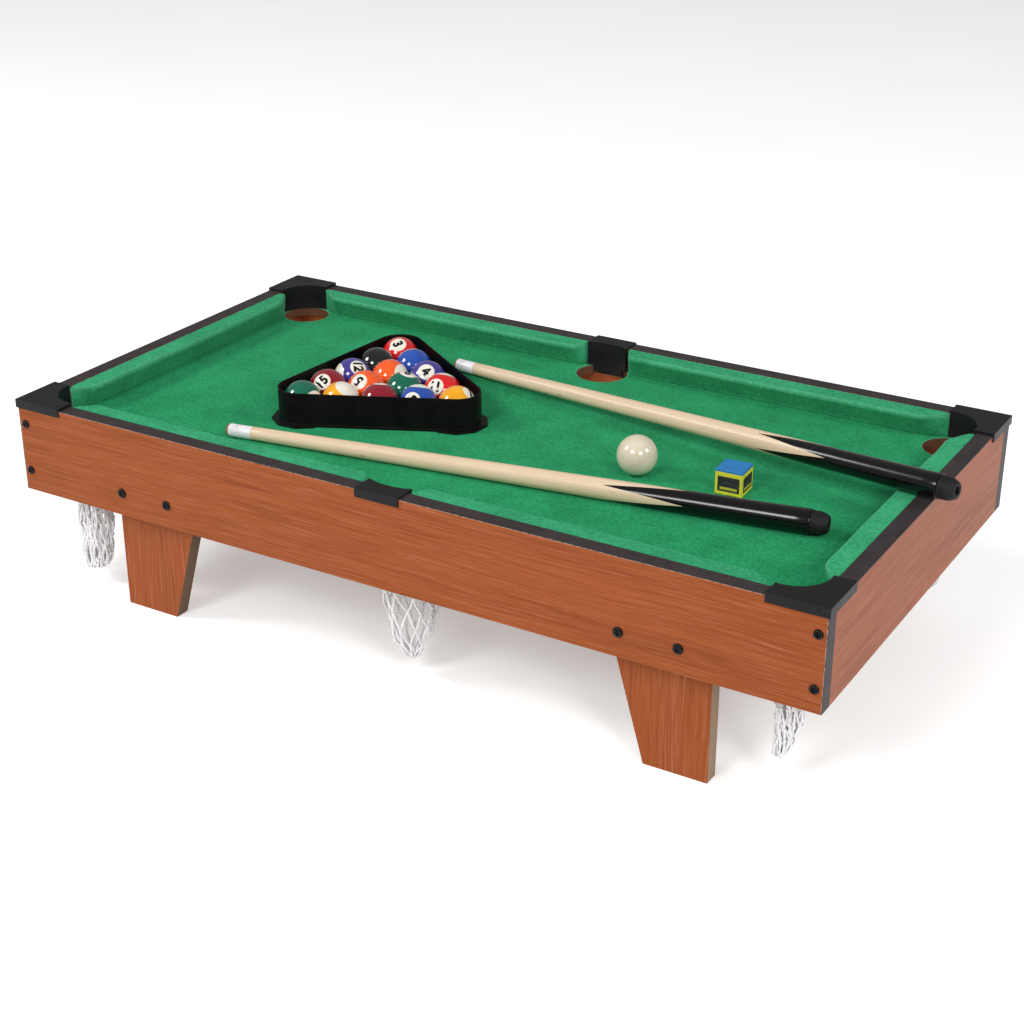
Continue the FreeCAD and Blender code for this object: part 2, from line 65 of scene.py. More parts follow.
# The camera's own directions: to its right, up in its picture, and back towards it.
VIEW_TURN = math.radians(30.85)
VIEW_DROP = math.radians(25.11)
CAMERA_PLACE = mm(820.3, -1366.8, 834.1)  # from the table's centre
FOCAL_LENGTH = 64.77
TOWARDS = Vector((math.sin(VIEW_TURN) * math.cos(VIEW_DROP),
                  -math.cos(VIEW_TURN) * math.cos(VIEW_DROP), math.sin(VIEW_DROP)))
RIGHT = Vector((math.cos(VIEW_TURN), math.sin(VIEW_TURN), 0.0))
UP = TOWARDS.cross(RIGHT)


# ---- materials

def shade(colour, factor, lift=0.0):
    """A colour made darker or lighter."""
    return tuple(min(1.0, c * factor + lift) for c in colour)


class Paint:
    """A material being made: its Principled shader and short calls for the nodes round it."""

    def __init__(self, name, **sockets):
        self.material = bpy.data.materials.new(name)
        self.material.use_nodes = True
        self.tree = self.material.node_tree
        self.shader = self.tree.nodes["Principled BSDF"]
        for socket, value in sockets.items():
            self.feed(self.shader, socket.replace("_", " "), value)
        self.spot = self.node("ShaderNodeTexCoord").outputs["Object"]

    def feed(self, node, socket, value):
        if isinstance(value, bpy.types.NodeSocket):
            self.tree.links.new(value, node.inputs[socket])
        elif isinstance(value, tuple) and len(value) == 3 and len(
                node.inputs[socket].default_value) == 4:
            node.inputs[socket].default_value = (*value, 1.0)
        else:
            node.inputs[socket].default_value = value

    def node(self, kind, inputs=None, **settings):
        made = self.tree.nodes.new(kind)
        for key, value in settings.items():
            setattr(made, key, value)
        for socket, value in (inputs or {}).items():
            self.feed(made, socket, value)
        return made

    def stretch(self, scale, vector=None):
        """A vector, or else the object's own coordinates in metres, times one scale or three."""
        if not isinstance(scale, tuple):
            scale = (scale,) * 3
        return self.node("ShaderNodeMapping", {
            "Vector": vector or self.spot, "Scale": scale}).outputs["Vector"]

    def noise(self, scale, detail=3.0, roughness=0.55, distortion=0.0, vector=None):
        return self.node("ShaderNodeTexNoise", {
            "Vector": self.stretch(scale, vector), "Scale": 1.0, "Detail": detail,
            "Roughness": roughness, "Distortion": distortion}).outputs["Fac"]

    def cells(self, scale):
        return self.node("ShaderNodeTexVoronoi", {
            "Vector": self.stretch(scale), "Scale": 1.0}).outputs["Distance"]

    def sum(self, operation, first, second=0.0, third=0.0):
        return self.node("ShaderNodeMath", {0: first, 1: second, 2: third},
                         operation=operation).outputs[0]

    def weigh(self, *pairs):
        """The sum of values, each times its weight."""
        total = 0.0
        for value, weight in pairs:
            total = self.sum("MULTIPLY_ADD", value, weight, total)
        return total

    def ramp(self, value, stops):
        """Colours or greys against value; each stop is (position, colour)."""
        made = self.node("ShaderNodeValToRGB", {"Fac": value})
        band = made.color_ramp
        while len(band.elements) < len(stops):
            band.elements.new(1.0)
        for element, (position, colour) in zip(band.elements, stops):
            element.position = position
            grey = isinstance(colour, (int, float))
            element.color = (colour, colour, colour, 1.0) if grey else (*colour, 1.0)
        return made.outputs["Color"]

    def mix(self, share, first, second):
        made = self.node("ShaderNodeMix", data_type="RGBA")
        for socket, value in ((0, share), (6, first), (7, second)):
            self.feed(made, socket, value)
        return made.outputs[2]

    def step(self, value, edge, soft):
        """0 below edge and 1 above it, over a width of soft."""
        return self.node("ShaderNodeMapRange", {
            "Value": value, "From Min": edge - soft / 2, "From Max": edge + soft / 2},
            clamp=True).outputs["Result"]

    def below(self, value, edge, soft):
        """1 below edge and 0 above it, over a width of soft."""
        return self.sum("SUBTRACT", 1.0, self.step(value, edge, soft))

    def away(self, axis):
        """Distance from the table's middle along one axis."""
        place = self.sum("SUBTRACT", self.axes()[axis], CENTRE["XYZ".index(axis)])
        return self.sum("ABSOLUTE", place)

    def shift(self, vector, by):
        return self.node("ShaderNodeVectorMath", {0: vector, 1: by}, operation="ADD").outputs[0]

    def axes(self, vector=None):
        return self.node("ShaderNodeSeparateXYZ", {"Vector": vector or self.spot}).outputs

    def bump(self, height, strength, distance, under=None):
        inputs = {"Height": height, "Strength": strength, "Distance": distance}
        if under is not None:
            inputs["Normal"] = under
        return self.node("ShaderNodeBump", inputs).outputs["Normal"]

    def done(self, **sockets):
        for socket, value in sockets.items():
            self.feed(self.shader, socket.replace("_", " "), value)
        return self.material


RAW_LIGHT = (0.32, 0.217, 0.128)
RAW_DARK = (0.21, 0.137, 0.080)


def raw_board(paint):
    """Colour of cut fibreboard: fine pale and dark specks."""
    specks = paint.noise(900, detail=4, roughness=0.7)
    return paint.ramp(specks, [(0.32, RAW_DARK), (0.62, RAW_LIGHT)])


def leg_edges(paint):
    """A leg's outer edge is pale raw board; its slanted inner edge is raw board darkened by painted
    shade.
    """
    outer = paint.step(paint.away("X"), LEG_BOX[1].x - CENTRE.x - 0.004, 0.0006)
    # Painted shade: the slanted inner edge, under the table, is darkened towards brown-black.
    shaded_inner_edge = paint.mix(0.72, raw_board(paint), (0.050, 0.022, 0.010))
    return paint.mix(outer, shaded_inner_edge, raw_board(paint))


CHERRY = (0.305, 0.077, 0.018)
CHERRY_DARK = (0.195, 0.041, 0.009)
SKIN = 0.0007  # how thick the laminate shows where a board is cut
PALE_EDGE = (0.62, 0.50, 0.40)


def laminate(name, grain, across, broad, low, high, seed, shine=0.12, edges=raw_board):
    """Printed cherry laminate on fibreboard. grain is the axis the grain runs along and
    across the axis of its width. The laminate is on the two broad faces, which are low and
    high away from the table's middle along the broad axis; edges gives the colour between."""
    paint = Paint(name, Specular_IOR_Level=shine)
    own = paint.shift(paint.spot, (seed, seed * 0.7, seed * 1.3))

    def grained(slow, fast, vector, **look):
        """Noise that is slow along the grain and fast across it."""
        scale = tuple(slow if axis == grain else fast for axis in "XYZ")
        return paint.noise(scale, vector=vector, **look)

    sway = grained(2.4, 7.0, own, detail=2)
    bend = paint.node("ShaderNodeCombineXYZ", {
        across: paint.sum("MULTIPLY_ADD", sway, 0.024, -0.012)}).outputs[0]
    bent = paint.shift(own, bend)
    patches = grained(3.0, 34.0, bent)
    bands = grained(3.5, 170.0, bent, roughness=0.6)
    streaks = grained(11.0, 620.0, bent, detail=4, roughness=0.65)
    fibres = grained(30.0, 1500.0, bent, roughness=0.6)
    tone = paint.weigh((patches, 0.22), (bands, 0.30), (streaks, 0.48))
    middling = tuple(a * 0.55 + b * 0.45 for a, b in zip(CHERRY, CHERRY_DARK))
    face = paint.ramp(tone, [(0.41, CHERRY), (0.51, middling), (0.60, CHERRY_DARK)])
    face = paint.mix(0.28, face, paint.ramp(fibres, [(0.34, CHERRY_DARK), (0.56, CHERRY)]))
    lines = paint.ramp(grained(16.0, 900.0, bent), [(0.53, 0.0), (0.66, 0.45)])
    face = paint.mix(lines, face, shade(CHERRY, 1.2, 0.05))
    pores = paint.ramp(grained(22.0, 900.0, bent, detail=2), [(0.30, 1.0), (0.40, 0.0)])
    face = paint.mix(paint.sum("MULTIPLY", pores, 0.40), face, shade(CHERRY_DARK, 0.6))
    away = paint.away(broad)
    skins = paint.sum("MAXIMUM", paint.step(away, high - SKIN, 0.0002),
                      paint.below(away, low + SKIN, 0.0002))
    return paint.done(Base_Color=paint.mix(skins, edges(paint), face),
                      Normal=paint.bump(fibres, 0.05, 0.0002),
                      Roughness=paint.ramp(streaks, [(0.3, 0.40), (0.7, 0.50)]))


def banding():
    """Dark satin tape with a pale hairline where it meets the laminate."""
    paint = Paint("edge_band", Roughness=0.42, Specular_IOR_Level=0.10)
    clouds = paint.noise(60, detail=4)
    brushed = paint.noise((40, 700, 700))
    colour = paint.ramp(paint.weigh((clouds, 0.5), (brushed, 0.5)), [
        (0.35, (0.031, 0.023, 0.024)), (0.65, (0.050, 0.039, 0.041))])
    hairline = paint.sum("MULTIPLY", paint.below(paint.axes()["Z"], FRAME_TOP - 0.0005, 0.0002),
                         paint.below(paint.away("X"), FRAME_HALF_X - 0.0005, 0.0002))
    broken = paint.ramp(paint.noise(260, detail=2), [(0.35, 0.15), (0.6, 0.85)])
    colour = paint.mix(paint.sum("MULTIPLY", hairline, broken), colour, PALE_EDGE)
    return paint.done(Base_Color=colour, Normal=paint.bump(brushed, 0.05, 0.0002))


def raw_panel():
    """Brown hardboard, seen in the holes and from below."""
    paint = Paint("panel_raw", Roughness=0.75, Specular_IOR_Level=0.2)
    grit = paint.noise(1200)
    specks = paint.noise(500, detail=5, roughness=0.7)
    colour = paint.ramp(specks, [(0.34, (0.085, 0.034, 0.016)), (0.62, (0.165, 0.072, 0.036))])
    return paint.done(Base_Color=colour, Normal=paint.bump(grit, 0.4, 0.0003))


def felt(name, light, dark):
    """Short-haired felt; a point attribute pales frayed cut edges and, as a painted highlight, the
    upper edge of each cushion's nose.
    """
    paint = Paint(name, Roughness=0.93, Sheen_Weight=0.16, Sheen_Roughness=0.5,
                  Sheen_Tint=(0.30, 0.95, 0.60), Specular_IOR_Level=0.06)
    clouds = paint.noise(22, detail=5, roughness=0.6)
    tufts = paint.noise(330, detail=4, roughness=0.7)
    hairs = paint.noise(2600, detail=2, roughness=0.6)
    tone = paint.weigh((clouds, 0.30), (tufts, 0.48), (hairs, 0.22))
    colour = paint.ramp(tone, [(0.40, shade(dark, 0.8)), (0.60, shade(light, 1.1))])
    lint = paint.ramp(paint.cells(330), [(0.03, 0.5), (0.07, 0.0)])
    colour = paint.mix(paint.sum("MULTIPLY", lint, 0.20), colour, (0.20, 0.48, 0.32))
    fray = paint.node("ShaderNodeAttribute", attribute_name="fray").outputs["Fac"]
    fray_and_highlight_share = paint.sum("MULTIPLY", fray, paint.ramp(
        paint.noise(700, detail=2), [(0.35, 0.25), (0.65, 0.95)]))
    # The pale mix: real fray at cut felt edges, and a painted highlight along the cushions' noses.
    colour = paint.mix(fray_and_highlight_share, colour, (0.26, 0.56, 0.38))
    soft = paint.bump(tufts, 0.22, 0.0005)
    return paint.done(Base_Color=colour, Normal=paint.bump(hairs, 0.35, 0.00025, soft))


def plastic(name, colour, roughness, shine, grain=0.10):
    """Moulded plastic with a fine spark texture and faint handling marks."""
    paint = Paint(name, Base_Color=colour, Specular_IOR_Level=shine)
    spark = paint.noise(1400, detail=2, roughness=0.6)
    marks = paint.noise(45, detail=5, roughness=0.65, distortion=0.6)
    worn = paint.ramp(marks, [(0.35, shade(colour, 0.85)), (0.70, shade(colour, 1.25, 0.001))])
    rough = paint.ramp(marks, [(0.3, roughness - 0.05), (0.7, roughness + 0.07)])
    return paint.done(Base_Color=worn, Roughness=rough, Normal=paint.bump(spark, grain, 0.0002))


def cotton():
    """White twisted string."""
    paint = Paint("net_cotton", Roughness=0.85, Sheen_Weight=0.3, Subsurface_Weight=0.12,
                  Subsurface_Radius=(0.002, 0.002, 0.002))
    twist = paint.node("ShaderNodeTexWave", {
        "Vector": paint.spot, "Scale": 420.0, "Distortion": 2.5, "Detail": 2.0},
        bands_direction="DIAGONAL").outputs["Fac"]
    grime = paint.noise(70, detail=4)
    colour = paint.ramp(grime, [(0.30, (0.70, 0.69, 0.70)), (0.62, (0.93, 0.92, 0.93))])
    colour = paint.mix(0.35, colour, paint.ramp(twist, [(0.1, (0.58, 0.57, 0.58)),
                                                        (0.5, (0.95, 0.94, 0.95))]))
    return paint.done(Base_Color=colour, Normal=paint.bump(twist, 0.6, 0.0004))


def resin(name):
    """Polished phenolic resin, very slightly clouded."""
    return Paint(name, Roughness=0.07, Coat_Weight=0.5, Coat_Roughness=0.06,
                 Subsurface_Weight=0.03, Subsurface_Radius=(0.002, 0.002, 0.002))


WHITE_RESIN = (0.78, 0.74, 0.62)
LABEL_COSINE = math.cos(math.radians(26.5))  # half the angle a label covers
PRONG_TIP = 0.3735  # where the black points of a cue end, along it from its tip
PRONG_LENGTH = 0.0735
CHALK_HALF = mm(12.75, 12.75, 11.75)


def ball_paint(name, colour, striped):
    """The ball's own X points out of its two labels and its Z out of the stripe's poles."""
    paint = resin(name)
    unit = paint.node("ShaderNodeVectorMath", {0: paint.spot}, operation="NORMALIZE").outputs[0]
    x, y, z = paint.axes(unit)
    cloud = paint.noise(90)
    body = paint.ramp(cloud, [(0.3, shade(colour, 0.88)), (0.7, shade(colour, 1.10))])
    ivory = paint.ramp(cloud, [(0.3, WHITE_RESIN), (0.7, (0.86, 0.83, 0.73))])
    if striped:
        body = paint.mix(paint.step(paint.sum("ABSOLUTE", z), 0.76, 0.012), body, ivory)
    label = paint.step(paint.sum("ABSOLUTE", x), LABEL_COSINE, 0.006)
    worn = paint.ramp(paint.noise(240, detail=5), [(0.35, 0.05), (0.75, 0.13)])
    return paint.done(Base_Color=paint.mix(label, body, ivory), Roughness=worn)


def maple(name, phase):
    """Varnished maple shaft; a gloss black butt runs up it in four points, turned by phase."""
    paint = Paint(name, Coat_Roughness=0.10)
    x, y, z = paint.axes()
    streaks = paint.noise((9, 420, 420), detail=4, roughness=0.6)
    fibres = paint.noise((60, 1900, 1900))
    knots = paint.cells((16, 55, 55))
    wood = paint.ramp(paint.weigh((fibres, 0.35), (streaks, 0.65)), [
        (0.33, (0.64, 0.47, 0.31)), (0.66, (0.78, 0.61, 0.43))])
    wood = paint.mix(paint.ramp(knots, [(0.035, 0.7), (0.085, 0.0)]), wood, (0.26, 0.11, 0.05))
    angle = paint.sum("ARCTAN2", y, z)
    turn = paint.sum("FRACT", paint.sum("MULTIPLY_ADD", angle, 4 / math.tau, phase))
    tooth = paint.sum("MULTIPLY", paint.sum("ABSOLUTE", paint.sum("SUBTRACT", turn, 0.5)), 2.0)
    edge = paint.sum("MULTIPLY_ADD", tooth, PRONG_LENGTH, PRONG_TIP)
    wander = paint.sum("MULTIPLY", paint.sum("SUBTRACT", streaks, 0.5), 0.002)
    black = paint.step(paint.sum("SUBTRACT", paint.sum("ADD", x, wander), edge), 0.0, 0.0008)
    colour = paint.mix(black, wood, (0.003, 0.002, 0.003))
    dents = paint.noise((30, 130, 130))
    return paint.done(
        Base_Color=colour, Roughness=paint.ramp(black, [(0.0, 0.42), (1.0, 0.20)]),
        Specular_IOR_Level=0.3,
        Coat_Weight=paint.ramp(black, [(0.0, 0.12), (1.0, 0.3)]),
        Normal=paint.bump(dents, 0.12, 0.0004))


def leather():
    paint = Paint("tip_leather", Roughness=0.8)
    pile = paint.noise(900, detail=4, roughness=0.7)
    colour = paint.ramp(pile, [(0.3, (0.16, 0.085, 0.04)), (0.7, (0.34, 0.20, 0.10))])
    return paint.done(Base_Color=colour, Normal=paint.bump(pile, 0.5, 0.0003))


def chalk_paint():
    """Blue chalk on top; the other faces wear a yellow wrapper with dark printed panels."""
    paint = Paint("chalk", Roughness=0.75)
    x, y, z = paint.axes()
    grit = paint.noise(1500, detail=4, roughness=0.7)
    blue = paint.ramp(grit, [(0.3, (0.006, 0.135, 0.38)), (0.7, (0.022, 0.215, 0.50))])
    top = 2 * CHALK_HALF.z
    side = paint.step(paint.sum("DIVIDE", paint.sum("ABSOLUTE", x), CHALK_HALF.x), 0.985, 0.01)
    across = paint.mix(side, paint.sum("DIVIDE", x, CHALK_HALF.x),
                       paint.sum("DIVIDE", y, CHALK_HALF.y))
    run = paint.sum("ABSOLUTE", across)
    level = paint.sum("DIVIDE", z, top)
    panel = paint.sum("MULTIPLY", paint.below(run, 0.80, 0.05), paint.sum(
        "MULTIPLY", paint.step(level, 0.14, 0.04), paint.below(level, 0.74, 0.04)))
    wrapper = paint.mix(panel, (0.68, 0.66, 0.028), (0.012, 0.014, 0.012))
    inner = paint.sum("MULTIPLY", paint.step(level, 0.22, 0.03), paint.sum(
        "MULTIPLY", paint.below(level, 0.32, 0.03), paint.below(run, 0.62, 0.05)))
    wrapper = paint.mix(inner, wrapper, (0.47, 0.44, 0.03))
    scuff = paint.ramp(paint.noise(300, detail=4), [(0.55, 0.0), (0.75, 0.5)])
    wrapper = paint.mix(scuff, wrapper, (0.10, 0.17, 0.22))
    colour = paint.mix(paint.step(z, top - 0.0022, 0.0005), wrapper, blue)
    return paint.done(Base_Color=colour, Normal=paint.bump(grit, 0.35, 0.0003))


LONG_LAMINATE = laminate("laminate_long", "X", "Z", "Y", BED_HALF_Y, FRAME_HALF_Y, 0.0)
END_LAMINATE = laminate("laminate_end", "Y", "Z", "X", BED_HALF_X, FRAME_HALF_X, 2.3, 0.22)
LEG_LAMINATE = laminate("laminate_leg", "Z", "X", "Y", LEG_BOX[0].y, LEG_BOX[1].y, 5.1,
                        edges=leg_edges)
BANDING = banding()
BED_FELT = felt("felt_bed", (0.0185, 0.300, 0.115), (0.008, 0.212, 0.072))
# The cushions' felt is the bed's green cloth made lighter and paler: the extra lightness is a
# painted sheen.
CUSHION_FELT_WITH_PAINTED_SHEEN = felt("felt_cushion_painted_sheen", (0.040, 0.350, 0.160), (0.018, 0.255, 0.105))
CAP_BLACK = plastic("cap_black", (0.009, 0.009, 0.010), 0.38, 0.15)
RACK_BLACK = plastic("rack_black", (0.003, 0.003, 0.003), 0.40, 0.10, 0.05)
SCREW_BLACK = plastic("screw_black", (0.002, 0.002, 0.0025), 0.24, 0.20, 0.04)
RUBBER = plastic("bumper_rubber", (0.010, 0.010, 0.011), 0.60, 0.2, 0.2)
FERRULE = plastic("ferrule_white", (0.74, 0.73, 0.75), 0.28, 0.5, 0.03)
INK = plastic("ball_ink", (0.006, 0.006, 0.007), 0.12, 0.5, 0.0)
COTTON = cotton()
LEATHER = leather()
PANEL_RAW = raw_panel()


# ---- building meshes

def new_object(name, data):
    made = bpy.data.objects.new(name, data)
    scene.collection.objects.link(made)
    return made


def stand_for(piece, body, slot_name, node):
    """Put a piece on a body in place of a CAD node."""
    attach(piece, body)
    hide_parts(node)


def new_piece(name, points, faces, materials, body, slot_name, node, place=None):
    """A mesh of points and faces that rides on a body and stands for a CAD node."""
    mesh = bpy.data.meshes.new(name)
    mesh.from_pydata([tuple(p) for p in points], [], faces)
    mesh.update()
    mesh.shade_smooth()
    for material in materials:
        mesh.materials.append(material)
    piece = new_object(name, mesh)
    piece.matrix_world = place if place is not None else Matrix.Translation(CENTRE)
    stand_for(piece, body, slot_name, node)
    return piece


def crease(piece, degrees):
    """Keep edges sharper than this crisp."""
    piece.data.set_sharp_from_angle(angle=math.radians(degrees))


def refine(piece):
    modifier = piece.modifiers.new("smooth", "SUBSURF")
    modifier.levels = 1
    modifier.render_levels = 1


def dress(node, material, width=0.0, segments=3):
    """Give a CAD node that stays its material and, by modifiers, edges rounded over a width in
    millimetres."""
    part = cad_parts[node]
    part.data.materials.clear()
    part.data.materials.append(material)
    if not width:
        return
    part.modifiers.new("weld", "WELD").merge_threshold = 0.00001
    bevel = part.modifiers.new("bevel", "BEVEL")
    bevel.width = width * MM
    bevel.segments = segments
    bevel.limit_method = "ANGLE"
    bevel.angle_limit = math.radians(40.0)
    bevel.harden_normals = True


def rounded_outline(corners, steps, spacing):
    """Points round a closed outline whose corners, (x, y, radius), are rounded."""
    outline = []
    count = len(corners)
    for index, (x, y, radius) in enumerate(corners):
        here = Vector((x, y))
        before = Vector(corners[index - 1][:2]) - here
        after = Vector(corners[(index + 1) % count][:2]) - here
        half = before.angle(after) / 2
        reach = radius / math.tan(half)
        first = here + before.normalized() * reach
        last = here + after.normalized() * reach
        middle = here + (before.normalized() + after.normalized()).normalized() * (
            radius / math.sin(half))
        start = first - middle
        sweep = start.angle_signed(last - middle)
        for step in range(steps + 1):
            angle = sweep * step / steps
            outline.append(middle + Vector((
                start.x * math.cos(angle) + start.y * math.sin(angle),
                start.y * math.cos(angle) - start.x * math.sin(angle))))
    dense = []
    for here, there in zip(outline, outline[1:] + outline[:1]):
        pieces = max(1, round((there - here).length / spacing))
        dense += [here.lerp(there, k / pieces) for k in range(pieces)]
    return dense


def spoke(k, count):
    """Unit steps across and up to the k-th of count equal places round a circle."""
    angle = math.tau * k / count
    return math.cos(angle), math.sin(angle)


def skin_rings(rings, closed_ends=True):
    """Faces between equal rings of points, with a fan over each end."""
    count = len(rings[0])
    points = [p for ring in rings for p in ring]
    faces = []
    for row in range(len(rings) - 1):
        for k in range(count):
            other = (k + 1) % count
            faces.append((row * count + k, row * count + other,
                          (row + 1) * count + other, (row + 1) * count + k))
    if closed_ends:
        for row, flip in ((0, True), (len(rings) - 1, False)):
            hub = len(points)
            ring = rings[row]
            points.append(sum(ring, Vector((0, 0, 0))) / count)
            for k in range(count):
                pair = (row * count + k, row * count + (k + 1) % count)
                faces.append((*reversed(pair), hub) if flip else (*pair, hub))
    return points, faces


def box_grid(cuts, place):
    """A box's six faces as grids. Each point, three numbers from -1 to 1, goes where place
    puts it, and a point that faces share is made once."""
    points, faces, seen = [], [], {}
    for axis in range(3):
        for sign in (-1.0, 1.0):
            for row in range(cuts):
                for column in range(cuts):
                    corner = []
                    for da, db in ((0, 0), (1, 0), (1, 1), (0, 1)):
                        spot = [0.0, 0.0, 0.0]
                        spot[axis] = sign
                        spot[(axis + 1) % 3] = 2 * (row + da) / cuts - 1
                        spot[(axis + 2) % 3] = 2 * (column + db) / cuts - 1
                        key = tuple(round(c, 6) for c in spot)
                        if key not in seen:
                            seen[key] = len(points)
                            points.append(place(spot))
                        corner.append(seen[key])
                    faces.append(tuple(corner if sign > 0 else reversed(corner)))
    return points, faces


def joined(parts):
    """Points and faces of several parts as those of one."""
    points, faces = [], []
    for part_points, part_faces in parts:
        base = len(points)
        points += part_points
        faces += [tuple(base + k for k in face) for face in part_faces]
    return points, faces


# ---- the frame's own nodes

for side in ("front", "back"):
    dress(f"board_{side}", LONG_LAMINATE)
    dress(f"cap_{side}_middle", CAP_BLACK, 0.5)
    for end in ("left", "right"):
        dress(f"leg_{side}_{end}", LEG_LAMINATE, 0.35, 2)
        dress(f"cap_{side}_{end}", CAP_BLACK, 0.55)
for side in ("left", "right"):
    dress(f"board_{side}", END_LAMINATE)
for side in ("front", "back", "left", "right"):
    dress(f"band_{side}", BANDING)
dress("bed_panel", PANEL_RAW)
dress("ball_rack", RACK_BLACK, 0.6)


# ---- cushions

CUSHION_WIDTH = 20.0
CUSHION_HEIGHT = (FRAME_TOP - BED_TOP) / MM
CUSHION_SECTION = rounded_outline(
    [(0.0, 0.0, 0.8), (10.0, 0.0, 1.5), (CUSHION_WIDTH, CUSHION_HEIGHT - 5.0, 2.3),
     (CUSHION_WIDTH, CUSHION_HEIGHT, 2.6), (0.0, CUSHION_HEIGHT, 1.6)], 4, 2.6)
# How far a cushion's nose strays and ripples, and its top ripples and falls, in millimetres.
NOSE_STRAY, NOSE_RIPPLE, TOP_RIPPLE, TOP_FALL = 0.75, 0.28, 0.35, 0.55
PUFF = 0.45  # the most that pressure may move its felt, in millimetres
STEP_ALONG = 3.6
SWELL_FRAMES = 16
FELT_PAD = {"quality": 6, "mass": 0.25, "tension_stiffness": 30.0, "compression_stiffness": 30.0,
            "bending_stiffness": 1.2, "use_pressure": True, "uniform_pressure_force": 4.0,
            "vertex_group_mass": "fixed"}
NEAR_TIP = (0.0, 0.7, 1.6, 2.8, 4.2, 5.8, 7.6, 9.6, 11.8, 14.2, 17.0, 20.0, 23.2)


def eased_min(first, second, soft):
    """The smaller of two numbers, with the corner between them rounded."""
    gap = max(0.0, soft - abs(first - second)) / soft
    return min(first, second) - gap * gap * soft * 0.25


def tip_shape(start, slope, soft, curl_reach, pull, drop):
    """How a cushion ends: a function that gives its back, its front and its drop in height
    at a distance from its tip, all in millimetres."""
    def shape(distance):
        front = eased_min(CUSHION_WIDTH, start + distance * slope, soft)
        curl = max(0.0, 1.0 - distance / curl_reach)
        return pull * curl, front, drop * curl ** 2
    return shape


CORNER_TIP = tip_shape(2.0, 0.85, 1.5, 12.0, 1.2, 1.0)
END_TIP = tip_shape(5.5, 0.62, 3.0, 12.0, 1.5, 1.3)
MIDDLE_TIP = tip_shape(3.2, 2.15, 6.0, 7.0, 0.0, 1.0)


def cushion_stations(length):
    """Distances along a cushion, closer together near its two tips."""
    middle = length - 2 * NEAR_TIP[-1]
    steps = max(1, round(middle / STEP_ALONG))
    inner = [NEAR_TIP[-1] + middle * k / steps for k in range(1, steps)]
    return [*NEAR_TIP, *inner, *(length - d for d in reversed(NEAR_TIP))]


def swell(pad, fixed, cap):
    """Let a pad puff up a little under pressure, keeping the fixed points where they are and
    the others within cap of their places."""
    pad.vertex_groups.new(name="fixed").add(fixed, 1.0, "REPLACE")
    before = [v.co.copy() for v in pad.data.vertices]
    cloth = pad.modifiers.new("cloth", "CLOTH")
    for setting, value in FELT_PAD.items():
        setattr(cloth.settings, setting, value)
    cloth.settings.effector_weights.gravity = 0.0
    cloth.point_cache.frame_start = 1
    cloth.point_cache.frame_end = SWELL_FRAMES
    for number in range(1, SWELL_FRAMES + 1):
        scene.frame_set(number)
    held = pad.evaluated_get(bpy.context.evaluated_depsgraph_get())
    after = [v.co.copy() for v in held.data.vertices]
    pad.modifiers.remove(cloth)
    for vertex, old, new in zip(pad.data.vertices, before, after):
        move = new - old
        if move.length > cap:
            move *= cap / move.length
        vertex.co = old + move
    scene.frame_set(1)


def make_cushion(name, turn, wall, first, last, first_tip, last_tip, seed):
    """A felt-wrapped strip lying along the wall, from first to last, in millimetres."""
    rings, fray = [], []
    length = last - first
    for station in cushion_stations(length):
        back_a, front_a, drop_a = first_tip(station)
        back_b, front_b, drop_b = last_tip(length - station)
        back = max(back_a, back_b)
        front = min(front_a, front_b)
        drop = max(drop_a, drop_b)
        along = first + station
        wander = noise.noise(Vector((along * 0.021, seed, 0.0)))
        ripple = noise.noise(Vector((along * 0.075, seed, 4.0)))
        ring = []
        for x, z in CUSHION_SECTION:
            share = x / CUSHION_WIDTH
            lift = z / CUSHION_HEIGHT
            out = back + share * (front - back + NOSE_STRAY * wander + NOSE_RIPPLE * ripple)
            height = z - drop * lift + share * lift * (TOP_RIPPLE * ripple - TOP_FALL * share)
            ring.append(mm(along, wall - out, BED_TOP / MM + height))
            # Pale along the nose's upper edge a little, as a painted highlight, and more where the
            # felt is frayed at its cut tips.
            tip = min(station, length - station)
            nose_highlight = 0.25 if x > 18.0 and z > CUSHION_HEIGHT - 3.2 else 0.0
            fray.append(max(nose_highlight, max(0.0, 1.0 - tip / 1.3) * (0.6 if x > 1.0 else 0.2)))
        rings.append(ring)
    points, faces = skin_rings(rings)
    fray += [0.2, 0.2]
    rotation = Matrix.Rotation(math.radians(turn), 4, "Z")
    cushion = new_piece(f"felt_{name}", [rotation @ p for p in points], faces, [CUSHION_FELT_WITH_PAINTED_SHEEN],
                        "table", "cushion_cloth", name)
    cushion.data.attributes.new("fray", "FLOAT", "POINT").data.foreach_set("value", fray)
    fixed = [index for index, (x, z) in enumerate(CUSHION_SECTION) if x < 0.8 or z < 0.8]
    count = len(CUSHION_SECTION)
    held = [row * count + k for row in range(len(rings)) for k in fixed]
    held += range(len(rings) * count, len(points))
    swell(cushion, held, PUFF * MM)
    refine(cushion)


WALL_X = BED_HALF_X / MM
WALL_Y = BED_HALF_Y / MM
for name, turn, wall, first, last, first_tip, last_tip, seed in (
        ("cushion_back_right", 0, WALL_Y, 20.8, 357.0, MIDDLE_TIP, CORNER_TIP, 1.7),
        ("cushion_back_left", 0, WALL_Y, -357.0, -24.8, CORNER_TIP, MIDDLE_TIP, 9.2),
        ("cushion_front_left", 180, WALL_Y, 23.2, 357.0, MIDDLE_TIP, CORNER_TIP, 5.4),
        ("cushion_front_right", 180, WALL_Y, -354.0, -25.6, CORNER_TIP, MIDDLE_TIP, 3.1),
        ("cushion_end_left", 90, WALL_X, -168.0, 168.0, END_TIP, END_TIP, 7.7),
        ("cushion_end_right", -90, WALL_X, -168.0, 168.0, END_TIP, END_TIP, 2.3)):
    make_cushion(name, turn, wall, first, last, first_tip, last_tip, seed)


# ---- bed cloth

